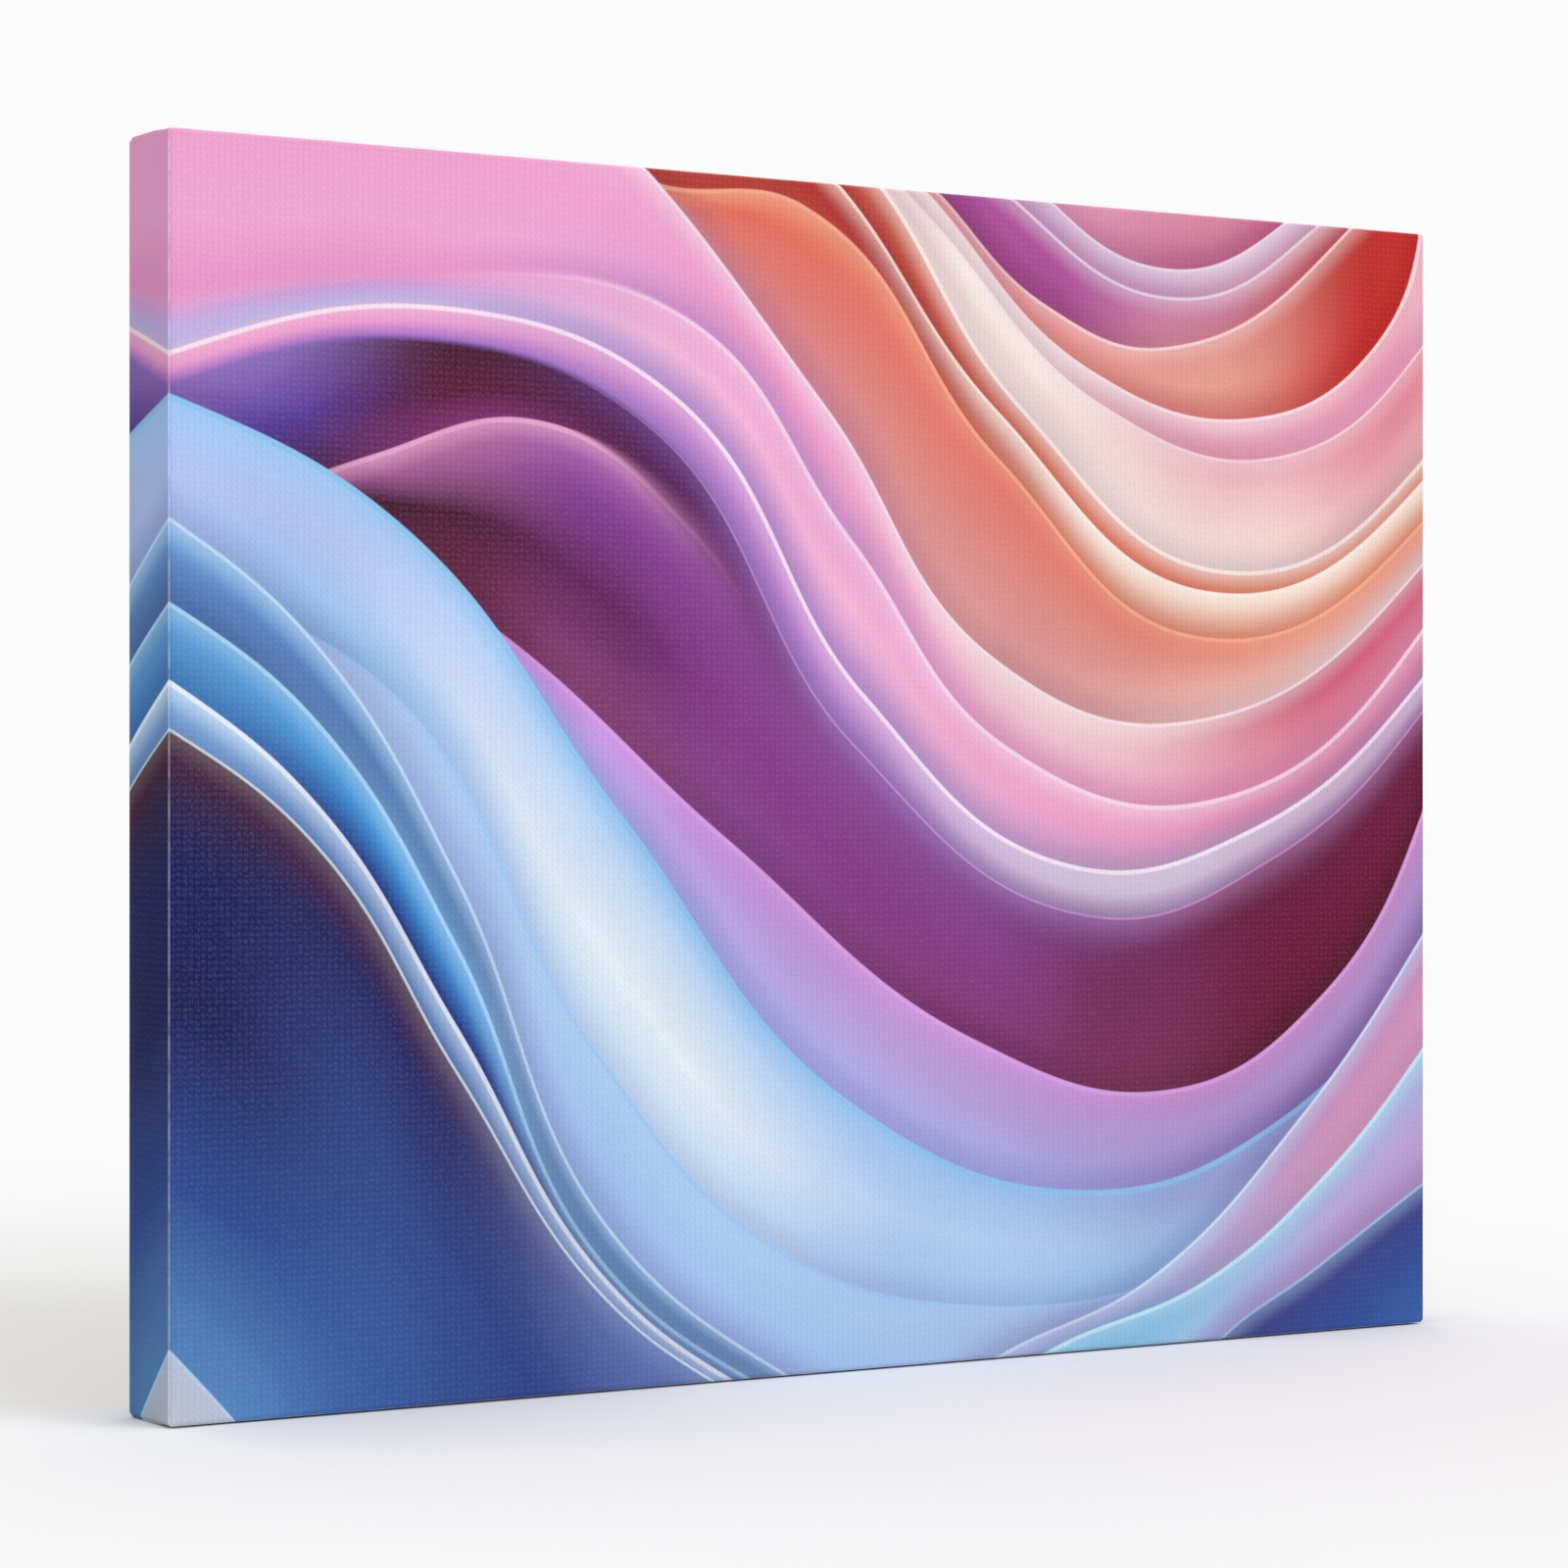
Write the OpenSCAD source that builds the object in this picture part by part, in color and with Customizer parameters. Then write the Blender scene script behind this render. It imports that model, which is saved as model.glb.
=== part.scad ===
// Gallery-wrapped stretched canvas, hung on a wall by its sawtooth hanger.
// Four stretcher bars with tongue-and-slot mitres, eight loose corner keys, one
// piece of primed cloth stapled to the back, a sawtooth hanger and rubber bumpers.
// Millimetres. The printed face looks along -Y, the wall is the plane Y = 0, +Z is
// up, and the origin is where the wall nail bears in the hanger's middle notch.

/* [Cloth] */
// Width of the printed face
canvas_w = 508; // [360:1:760]
// Height of the printed face
canvas_h = 406.4; // [300:0.1:610]
// Depth from the printed face to the cloth folded over the back
canvas_d = 31.75; // [30:0.25:40]
// Thickness of the primed cloth
cloth_t = 0.5; // [0.4:0.1:0.7]
// Width of the cloth folded over the back
flap_w = 30; // [28:1:33]
// Radius of the face's four corners
corner_r = 2.5; // [2:0.1:4]
// Radius of the edge where the cloth turns from the face to a side
edge_r = 1.4; // [1.2:0.1:2]

/* [Stretcher bars] */
// Width of a bar, across the frame's plane
bar_w = 38; // [35:1:50]
// Width of the raised bead that carries the cloth
bead_w = 5; // [4:0.5:8]
// Height of the bead above the bar's front face
bead_rise = 3; // [2:0.5:4]
// How much further the front face falls away towards the inner edge
face_fall = 3.5; // [2:0.5:4]
// Chamfer along the inner edge at the back
inner_ease = 1.2; // [0.6:0.2:2]

/* [Corner joints] */
// Depth of each slot, from its back wall to its front wall
slot_t = 4; // [3.5:0.1:4.5]
// Wood left between an outer side of the frame and a slot's end
slot_margin = 6; // [5:0.5:8]
// Bar back face to the slot nearer the back
first_slot_at = 8.6; // [8.2:0.1:9]
// Wood between the two slots of a corner
slot_web = 2.4; // [2:0.1:3]

/* [Corner keys] */
// Length of a key along its straight edge
key_len = 42; // [36:1:48]
// Height of a key at its pointed end
key_tip_h = 9; // [7:0.5:10]
// Height of a key at its broad end
key_end_h = 20; // [17:0.5:22]
// How far a key stands in its slot
key_in = 18; // [14:1:22]
// Clearance between a key and the wood on each side
key_gap = 0.2; // [0.15:0.05:0.3]

/* [Staples] */
// Staples along the top and along the bottom
staples_wide = 11; // [5:1:15]
// Staples along each side
staples_tall = 9; // [5:1:11]
// Outside width of a staple
staple_w = 11; // [10:0.5:13]
// Length of a staple's legs below its crown
staple_leg = 8; // [6:0.5:8]
// Outer side of the frame to the line of staples
staple_inset = 11; // [9:0.5:12]

/* [Hanger and bumpers] */
// Length of the sawtooth hanger
hanger_l = 46; // [44:1:64]
// Height of the hanger, teeth included
hanger_h = 9.5; // [9:0.5:11]
// Top of the canvas to the notch that sits on the wall nail
hang_drop = 26.5; // [26:0.5:27.5]
// Diameter of a bumper at its base
bumper_d = 11; // [8:0.5:12]
// Thickness of a bumper, which holds the canvas off the wall
bumper_t = 3; // [2.8:0.1:4]

/* [Hidden] */
$fn = 48;
past = 1;                                     // how far a cut runs past the wood

// Places of the main planes
cloth_back = -bumper_t;                       // cloth folded over the back
bar_back = cloth_back - cloth_t;              // back face of the bars
bar_d = canvas_d - 2 * cloth_t;               // bar back face to the top of its bead
frame_w = canvas_w - 2 * cloth_t;             // outside of the bars
frame_h = canvas_h - 2 * cloth_t;
face_z = hang_drop - canvas_h / 2;            // height of the face's middle

// Corner joints and keys
bar_edge_r = edge_r;                          // rounder than the cloth's inner turn
tongue_gap = 0.1;                             // clearance of a tongue in its slot
slot_d = [first_slot_at, first_slot_at + slot_t + slot_web];
key_t = slot_t - 2 * key_gap;
key_mouth_h = key_tip_h + (key_end_h - key_tip_h) * key_in / key_len;
key_slot_h = key_mouth_h + 2 * key_gap;
key_tip_cut = 2.5;                            // corner taken off the pointed end

// Staples and nails
staple_wire = [1.2, 0.6];                     // width and thickness of the wire
staple_sink = 0.15;                           // how far a crown presses into the cloth
staple_end = 40;                              // side of the frame to the first staple
nail_r = 0.8;
nail_len = 12;
nail_head_r = 1.7;
nail_head_t = 0.5;

// Hanger strip
strip_t = 0.9;
strip_lift = 1.3;                             // gap behind the raised middle
tab_l = 7;                                    // flat tab at each end
bend_l = 2;                                   // run of the bend between tab and middle
tooth_pitch = 2.4;
tooth_h = 1.8;
tab_r = 2.5;                                  // rounding of the tab corners
nail_x = hanger_l / 2 - tab_l / 2;
nail_z = hanger_h / 2;
notch_z = tooth_h;                            // notch above the strip's lower edge

// Bumpers
bumper_inset = 15;                            // sides of the frame to a bumper's middle
bumper_top_d = bumper_d - 3;
bumper_wall = 1.2;                            // straight wall below the slope

// ---- placing -----------------------------------------------------------------

// Extrudes an outline drawn in X and Z from the plane y_back towards the face.
module slab(y_back, t)
  translate([0, y_back, 0]) rotate([90, 0, 0]) linear_extrude(t) children();

// Works from an outer corner of the bars: +X and +Z both run inwards from it.
// side_x is -1 for left and 1 for right, side_z is -1 for bottom and 1 for top.
module in_corner(side_x, side_z)
  translate([side_x * frame_w / 2, 0, face_z + side_z * frame_h / 2])
    mirror([side_x > 0 ? 1 : 0, 0, 0])
      mirror([0, 0, side_z > 0 ? 1 : 0])
        children();

// Swaps the two directions of a corner, so what is drawn for the horizontal bar
// serves the vertical one.
module swapped() mirror([1, 0, -1]) children();

// The slot, 0 or 1 from the back, that holds the horizontal bar's tongue. It
// alternates round the frame, so that all four bars are cut alike.
function level(side_x, side_z) = side_x * side_z < 0 ? 0 : 1;

// ---- cloth -------------------------------------------------------------------

module rounded_rect(w, h, r) {
  square([w - 2 * r, h], center = true);
  square([w, h - 2 * r], center = true);
  for (x = [-1, 1], z = [-1, 1])
    translate([x * (w / 2 - r), z * (h / 2 - r)]) circle(r);
}

// A block's outline seen along its face, with its two front edges rounded.
module edge_outline(w, d, r) {
  translate([-w / 2, r - d]) square([w, d - r]);
  translate([r - w / 2, -d]) square([w - 2 * r, d]);
  for (x = [-1, 1])
    translate([x * (w / 2 - r), r - d]) circle(r);
}

// A block with its back at Y = 0, rounded at the face's corners and edges.
module soft_block(w, h, d, r_corner, r_edge)
  intersection() {
    slab(0, d) rounded_rect(w, h, r_corner);
    translate([0, 0, -h / 2]) linear_extrude(h) edge_outline(w, d, r_edge);
    translate([-w / 2, 0, 0]) rotate([0, 90, 0]) linear_extrude(w)
      edge_outline(h, d, r_edge);
  }

module canvas_cloth()
  color("orchid")
    translate([0, 0, face_z])
      difference() {
        translate([0, cloth_back, 0])
          soft_block(canvas_w, canvas_h, canvas_d, corner_r, edge_r);
        translate([0, bar_back, 0])
          soft_block(frame_w, frame_h, bar_d, corner_r - cloth_t, edge_r - cloth_t);
        slab(cloth_back + past, cloth_t + 2 * past)
          square([canvas_w - 2 * flap_w, canvas_h - 2 * flap_w], center = true);
      }

// ---- stretcher bars ----------------------------------------------------------

// Section of a bar: depth below the back face in X, outer edge at 0 in Y. The bead
// carries the cloth, and the front face falls away behind it.
module bar_section() {
  face_y = bead_rise - bar_d;
  polygon([
    [0, 0],
    [0, inner_ease - bar_w],
    [-inner_ease, -bar_w],
    [face_y + face_fall, -bar_w],
    [face_y, -bead_w - bead_rise],
    [-bar_d, -bead_w],
    [-bar_d, -bar_edge_r],
    [bar_edge_r - bar_d, 0]
  ]);
  translate([bar_edge_r - bar_d, -bar_edge_r]) circle(bar_edge_r);
}

// A mitred bar of outer length l, centred, with its outer edge at Z = 0.
module bar_blank(l)
  intersection() {
    translate([-l / 2, bar_back, 0]) rotate([90, 0, 90]) linear_extrude(l) bar_section();
    slab(bar_back + past, bar_d + 2 * past)
      polygon([
        [-l / 2, 0],
        [l / 2, 0],
        [l / 2 - bar_w, -bar_w],
        [bar_w - l / 2, -bar_w]
      ]);
  }

// Tongue of the horizontal bar, in a corner's own directions.
module tongue(n)
  slab(bar_back - slot_d[n] - tongue_gap, slot_t - 2 * tongue_gap)
    translate([slot_margin, slot_margin]) square(bar_w - slot_margin);

// Slot of the vertical bar for that tongue and for the key below it.
module key_slot(n)
  slab(bar_back - slot_d[n], slot_t)
    translate([slot_margin - tongue_gap, slot_margin - tongue_gap])
      square([
        bar_w + past - slot_margin + tongue_gap,
        bar_w + key_slot_h - slot_margin + tongue_gap
      ]);

// The outermost corner of the frame, rounded to lie inside the cloth's corner.
module corner_trim()
  slab(bar_back + past, bar_d + 2 * past)
    difference() {
      translate([-past, -past]) square(corner_r + past);
      translate([corner_r, corner_r]) circle(corner_r);
    }

module horizontal_bar(side_z)
  difference() {
    union() {
      translate([0, 0, face_z])
        mirror([0, 0, side_z > 0 ? 0 : 1])
          translate([0, 0, frame_h / 2]) bar_blank(frame_w);
      for (x = [-1, 1])
        in_corner(x, side_z) tongue(level(x, side_z));
    }
    for (x = [-1, 1])
      in_corner(x, side_z) {
        swapped() key_slot(1 - level(x, side_z));
        corner_trim();
      }
  }

module vertical_bar(side_x)
  difference() {
    union() {
      translate([0, 0, face_z])
        rotate([0, side_x > 0 ? 90 : -90, 0])
          translate([0, 0, frame_w / 2]) bar_blank(frame_h);
      for (z = [-1, 1])
        in_corner(side_x, z) swapped() tongue(1 - level(side_x, z));
    }
    for (z = [-1, 1])
      in_corner(side_x, z) {
        key_slot(level(side_x, z));
        corner_trim();
      }
  }

module stretcher_top() color("burlywood") horizontal_bar(1);
module stretcher_bottom() color("burlywood") horizontal_bar(-1);
module stretcher_left() color("wheat") vertical_bar(-1);
module stretcher_right() color("wheat") vertical_bar(1);

// ---- corner keys -------------------------------------------------------------

// A key that lies along the horizontal bar, with its point in the vertical bar.
module key(n)
  slab(bar_back - slot_d[n] - key_gap, key_t)
    translate([bar_w - key_in, bar_w + key_gap])
      polygon([
        [0, 0],
        [key_len, 0],
        [key_len, key_end_h],
        [key_tip_cut, key_tip_h + (key_end_h - key_tip_h) * key_tip_cut / key_len],
        [0, key_tip_h - key_tip_cut]
      ]);

module horizontal_key(side_x, side_z)
  color("tan") in_corner(side_x, side_z) key(level(side_x, side_z));

module vertical_key(side_x, side_z)
  color("peru") in_corner(side_x, side_z) swapped() key(1 - level(side_x, side_z));

// ---- staples -----------------------------------------------------------------

// One staple, its crown along X and its legs driven towards the face.
module staple() {
  leg_x = (staple_w - staple_wire[1]) / 2;
  for (x = [-leg_x, leg_x])
    translate([x - staple_wire[1] / 2, -staple_leg, -staple_wire[0] / 2])
      cube([staple_wire[1], staple_leg, staple_wire[0]]);
  translate([-leg_x, 0, -staple_wire[0] / 2]) {
    translate([0, -staple_wire[1] / 2, 0])
      cube([2 * leg_x, staple_wire[1], staple_wire[0]]);
    for (x = [0, 2 * leg_x])
      translate([x, 0, 0]) cylinder(h = staple_wire[0], r = staple_wire[1] / 2);
  }
}

// A row of count staples along X, centred, over a bar of outer length l.
module staple_row(l, count)
  for (i = [0 : count - 1])
    translate([-l / 2 + staple_end + i * (l - 2 * staple_end) / (count - 1), 0, 0])
      translate([0, cloth_back + staple_wire[1] / 2 - staple_sink, 0]) staple();

module staples_along(angle, distance, l, count)
  color("silver")
    translate([0, 0, face_z])
      rotate([0, angle, 0])
        translate([0, 0, distance - staple_inset]) staple_row(l, count);

module staples_top() staples_along(0, canvas_h / 2, canvas_w, staples_wide);
module staples_bottom() staples_along(180, canvas_h / 2, canvas_w, staples_wide);
module staples_left() staples_along(-90, canvas_w / 2, canvas_h, staples_tall);
module staples_right() staples_along(90, canvas_w / 2, canvas_h, staples_tall);

// ---- hanger ------------------------------------------------------------------

// The strip seen from above: flat end tabs and a raised middle.
module strip_outline() {
  half = hanger_l / 2;
  in = half - tab_l;
  up = in - bend_l;
  polygon([
    [-half, 0], [-in, 0], [-up, strip_lift], [up, strip_lift], [in, 0], [half, 0],
    [half, strip_t], [in, strip_t], [up, strip_lift + strip_t],
    [-up, strip_lift + strip_t], [-in, strip_t], [-half, strip_t]
  ]);
}

// Teeth for one side of the middle notch, as cuts from the lower edge.
module tooth_cuts() {
  count = floor((hanger_l / 2 - tab_l - bend_l) / tooth_pitch);
  slab(past + bumper_t, 2 * past + bumper_t)
    for (i = [-count : count])
      translate([i * tooth_pitch, 0])
        polygon([
          [-tooth_pitch / 2, -past],
          [tooth_pitch / 2, -past],
          [tooth_pitch / 2, 0],
          [0, notch_z],
          [-tooth_pitch / 2, 0]
        ]);
}

module sawtooth_hanger()
  color("gold")
    translate([0, cloth_back, -notch_z])
      difference() {
        intersection() {
          linear_extrude(hanger_h) strip_outline();
          translate([0, 0, hanger_h / 2])
            slab(past + bumper_t, 2 * past + bumper_t)
              rounded_rect(hanger_l, hanger_h, tab_r);
        }
        tooth_cuts();
        for (x = [-nail_x, nail_x])
          translate([x, past + strip_t, nail_z]) rotate([90, 0, 0])
            cylinder(h = strip_t + 2 * past, r = nail_r + 0.1);
      }

module hanger_nails()
  color("gray")
    for (x = [-nail_x, nail_x])
      translate([x, cloth_back + strip_t, nail_z - notch_z]) rotate([90, 0, 0]) {
        cylinder(h = nail_len, r = nail_r);
        translate([0, 0, -nail_head_t]) cylinder(h = nail_head_t, r = nail_head_r);
      }

// ---- bumpers -----------------------------------------------------------------

module bumper(side_x, side_z)
  color("dimgray")
    in_corner(side_x, side_z)
      translate([bumper_inset, cloth_back, bumper_inset]) rotate([-90, 0, 0]) {
        cylinder(h = bumper_wall, d = bumper_d);
        translate([0, 0, bumper_wall])
          cylinder(h = bumper_t - bumper_wall, d1 = bumper_d, d2 = bumper_top_d);
      }

canvas_cloth();
stretcher_top();
stretcher_bottom();
stretcher_left();
stretcher_right();
horizontal_key(-1, 1);  // key_top_left_horizontal
vertical_key(-1, 1);  // key_top_left_vertical
horizontal_key(1, 1);  // key_top_right_horizontal
vertical_key(1, 1);  // key_top_right_vertical
horizontal_key(-1, -1);  // key_bottom_left_horizontal
vertical_key(-1, -1);  // key_bottom_left_vertical
horizontal_key(1, -1);  // key_bottom_right_horizontal
vertical_key(1, -1);  // key_bottom_right_vertical
staples_top();
staples_bottom();
staples_left();
staples_right();
sawtooth_hanger();
hanger_nails();
bumper(-1, 1);  // bumper_top_left
bumper(1, 1);  // bumper_top_right
bumper(-1, -1);  // bumper_bottom_left
bumper(1, -1);  // bumper_bottom_right
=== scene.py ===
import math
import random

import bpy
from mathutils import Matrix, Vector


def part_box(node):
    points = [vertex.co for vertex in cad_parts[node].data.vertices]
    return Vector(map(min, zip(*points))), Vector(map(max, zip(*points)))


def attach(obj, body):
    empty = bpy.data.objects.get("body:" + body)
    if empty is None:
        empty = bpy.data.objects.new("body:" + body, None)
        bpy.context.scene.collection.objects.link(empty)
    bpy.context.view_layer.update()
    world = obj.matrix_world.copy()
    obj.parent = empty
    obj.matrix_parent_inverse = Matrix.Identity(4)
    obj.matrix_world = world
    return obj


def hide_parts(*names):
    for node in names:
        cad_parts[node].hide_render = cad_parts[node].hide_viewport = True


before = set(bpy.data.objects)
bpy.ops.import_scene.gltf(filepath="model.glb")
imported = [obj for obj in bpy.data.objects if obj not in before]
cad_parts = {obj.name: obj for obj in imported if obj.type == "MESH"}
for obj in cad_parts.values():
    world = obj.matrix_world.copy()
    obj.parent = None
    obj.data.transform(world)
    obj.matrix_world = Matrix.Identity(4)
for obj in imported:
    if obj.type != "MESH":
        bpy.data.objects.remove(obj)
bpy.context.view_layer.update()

# Looks of the gallery-wrapped canvas: the printed cloth as a folded sheet, its raw
# reverse, its frayed cut edge, and a material for every CAD part that stays.
# Metres, in the CAD part's frame: the printed face looks along -Y, the wall is Y = 0
# and +Z is up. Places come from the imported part's boxes.

MM = 0.001

# ---- sizes that repeat part.scad's -------------------------------------------------

CLOTH_T = 0.5 * MM
FLAP_W = 30 * MM
EDGE_R = 1.4 * MM
STAPLE_END = 40 * MM
STAPLES_WIDE = 11
STAPLES_TALL = 9
BUMPER_INSET = 15 * MM
BUMPER_R = 5.5 * MM

# ---- places from the frame ---------------------------------------------------------

cloth_low, cloth_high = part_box("canvas_cloth")
LEFT, RIGHT = cloth_low.x, cloth_high.x
BOTTOM, TOP = cloth_low.z, cloth_high.z
FACE_Y, BACK_Y = cloth_low.y, cloth_high.y
WIDTH = RIGHT - LEFT
HEIGHT = TOP - BOTTOM
DEPTH = BACK_Y - FACE_Y
FACE_CENTRE = Vector(((LEFT + RIGHT) / 2, FACE_Y, (BOTTOM + TOP) / 2))

# ---- sizes of the cloth's own detail -----------------------------------------------

CORNER_R = 1.7 * MM          # roundness of the four corners, tighter than the CAD cloth's
BACK_R = 1.0 * MM            # turn of the cloth from a side to the back
GRID_STEP = 7 * MM           # spacing of the face's mesh
FLAP_STEPS = 11              # mesh rows across a folded flap
SIDE_STEPS = 9               # mesh rows across a side
TURN_STEPS = 5               # mesh rows round an edge
ARC_STEPS = 6                # mesh columns round a corner
FOLD_RISE = 0.6 * MM         # two more layers of cloth inside a corner fold, pulled flat
FOLD_START = 3 * MM          # depth at which a corner fold begins to rise
FOLD_FULL = 16 * MM          # depth at which it has its whole height
FOLD_BLUR = 2.5 * MM         # width of the soft step where the layers inside end
EDGE_LIFT = 0.35 * MM        # how far a flap's cut edge lifts between two staples
CUT_WAVER = 0.35 * MM        # unevenness of the cut edge
PRINT_BLEED = 6 * MM         # how far the print runs onto the back
UV_NAME = "flat_cloth"


def smooth(value, low, high):
    """0 below low, 1 above high, and an even turn between them."""
    share = min(1.0, max(0.0, (value - low) / (high - low)))
    return share * share * (3 - 2 * share)


# ====================================================================================
# Cloth
# ====================================================================================


def lines_across(low, high):
    """Grid lines from one side of the face to the other. Near both sides they stand at
    the same insets, so that a corner's diagonal runs through the grid's points."""
    step = (FLAP_W - CORNER_R) / FLAP_STEPS
    insets = [CORNER_R + step * i for i in range(FLAP_STEPS + 1)]
    inner = high - low - 2 * FLAP_W
    count = round(inner / GRID_STEP)
    middle = [low + FLAP_W + inner * i / count for i in range(1, count)]
    return [low + inset for inset in insets] + middle + [high - inset for inset in reversed(insets)]


def profile():
    """The cloth's way round an edge, from the face to the back, as rows of
    (distance out from the inset outline, y, length along the cloth, normal outward, normal back)."""
    rows = [(CORNER_R - EDGE_R, FACE_Y, CORNER_R - EDGE_R, 0.0, -1.0)]
    along = CORNER_R - EDGE_R
    for i in range(1, TURN_STEPS + 1):
        turn = math.pi / 2 * i / TURN_STEPS
        out = CORNER_R - EDGE_R + EDGE_R * math.sin(turn)
        y = FACE_Y + EDGE_R * (1 - math.cos(turn))
        rows.append((out, y, along + EDGE_R * turn, math.sin(turn), -math.cos(turn)))
    along += EDGE_R * math.pi / 2
    straight = DEPTH - EDGE_R - BACK_R
    for i in range(1, SIDE_STEPS + 1):
        gone = straight * i / SIDE_STEPS
        rows.append((CORNER_R, FACE_Y + EDGE_R + gone, along + gone, 1.0, 0.0))
    along += straight
    for i in range(1, TURN_STEPS + 1):
        turn = math.pi / 2 * i / TURN_STEPS
        out = CORNER_R - BACK_R * (1 - math.cos(turn))
        y = BACK_Y - BACK_R * (1 - math.sin(turn))
        rows.append((out, y, along + BACK_R * turn, math.cos(turn), math.sin(turn)))
    return rows


PROFILE = profile()
BACK_ALONG = PROFILE[-1][2] + CORNER_R - BACK_R    # length of cloth to the back's inset outline
XS = lines_across(LEFT, RIGHT)
ZS = lines_across(BOTTOM, TOP)
LAST_X = len(XS) - 1
LAST_Z = len(ZS) - 1


def inset_x(x):
    return min(x - LEFT, RIGHT - x)


def inset_z(z):
    return min(z - BOTTOM, TOP - z)


def bumper_press(x, z):
    """0 under a bumper, which presses the folded layers flat, and 1 away from it."""
    away = math.hypot(inset_x(x) - BUMPER_INSET, inset_z(z) - BUMPER_INSET)
    return smooth(away, BUMPER_R, BUMPER_R + 4 * MM)


def side_rise(x, y):
    """How far the top's or bottom's cloth stands proud over the layers of a corner fold."""
    depth = y - FACE_Y
    inside = 1 - smooth(inset_x(x), depth - FOLD_BLUR, depth + FOLD_BLUR)
    return FOLD_RISE * inside * smooth(depth, FOLD_START, FOLD_FULL)


def back_rise(x, z):
    """The same on the back, where the top and bottom flaps lie over the side flaps."""
    inside = 1 - smooth(inset_x(x), DEPTH - FOLD_BLUR, DEPTH + FOLD_BLUR)
    return FOLD_RISE * inside * (0.15 + 0.85 * bumper_press(x, z))


def edge_lift(position, low, high, count):
    """Lift of a flap's cut edge: none at a staple, most half way to the next one."""
    pitch = (high - low - 2 * STAPLE_END) / (count - 1)
    wave = 0.5 - 0.5 * math.cos(2 * math.pi * (position - low - STAPLE_END) / pitch)
    ends = smooth(min(position - low, high - position), FLAP_W, STAPLE_END)
    return EDGE_LIFT * wave * ends


def waver(position):
    """Uneven cut of a flap's edge, the same each time."""
    turns = position / MM
    return CUT_WAVER * (0.6 * math.sin(turns * 0.31) + 0.4 * math.sin(turns * 0.83 + 1.7))


class Sheet:
    """A mesh made face by face, with the flat cloth's coordinates at each face's corners."""

    def __init__(self):
        self.points = []
        self.faces = []
        self.marks = []

    def point(self, x, y, z):
        self.points.append((x, y, z))
        return len(self.points) - 1

    def face(self, corners, marks):
        self.faces.append(corners)
        self.marks.extend(marks)

    def strip(self, first, second, first_marks, second_marks):
        """Quads between two rows of points of the same length."""
        for i in range(len(first) - 1):
            self.face(
                [first[i], first[i + 1], second[i + 1], second[i]],
                [first_marks[i], first_marks[i + 1], second_marks[i + 1], second_marks[i]],
            )

    def finish(self, name, material):
        mesh = bpy.data.meshes.new(name)
        mesh.from_pydata(self.points, [], self.faces)
        layer = mesh.uv_layers.new(name=UV_NAME)
        for corner, mark in zip(layer.data, self.marks):
            corner.uv = mark
        mesh.materials.append(material)
        made = bpy.data.objects.new(name, mesh)
        bpy.context.scene.collection.objects.link(made)
        merge_points(mesh)
        mesh.shade_smooth()
        return made


def merge_points(mesh):
    """Joins points in the same place and drops faces that have no area."""
    import bmesh

    shape = bmesh.new()
    shape.from_mesh(mesh)
    bmesh.ops.remove_doubles(shape, verts=shape.verts, dist=0.002 * MM)
    bmesh.ops.dissolve_degenerate(shape, edges=shape.edges, dist=0.001 * MM)
    bmesh.ops.recalc_face_normals(shape, faces=shape.faces)
    shape.to_mesh(mesh)
    shape.free()


# Where a point of the cloth was on the flat, as shares of the face's width and height
# from its top left corner. Points beyond the face have values below 0 or above 1.


def mark_face(x, z):
    return ((x - LEFT) / WIDTH, (TOP - z) / HEIGHT)


def mark_side(side, x, z, along):
    """side is left, right, top or bottom, and along is the length of cloth from the
    inset outline on the face, outward and round to the back."""
    beyond = along - CORNER_R
    if side == "left":
        return (-beyond / WIDTH, (TOP - z) / HEIGHT)
    if side == "right":
        return (1 + beyond / WIDTH, (TOP - z) / HEIGHT)
    if side == "top":
        return ((x - LEFT) / WIDTH, -beyond / HEIGHT)
    return ((x - LEFT) / WIDTH, 1 + beyond / HEIGHT)


def face_dip(x, z):
    """The faint unevenness of the stretched face, in from the flat."""
    slow = 0.5 + 0.5 * math.sin(x * 23 + 0.6) * math.cos(z * 31)
    return 0.12 * MM * slow * smooth(min(inset_x(x), inset_z(z)), 6 * MM, 60 * MM)


def face_grid(sheet, y_shift):
    """The flat face inside the inset outline, as rows of point numbers."""
    grid = [
        [sheet.point(x, FACE_Y + face_dip(x, z) + y_shift, z) for x in XS]
        for z in ZS
    ]
    for j in range(LAST_Z):
        marks = [[mark_face(x, z) for x in XS] for z in (ZS[j], ZS[j + 1])]
        sheet.strip(grid[j], grid[j + 1], marks[0], marks[1])
    return grid


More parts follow.
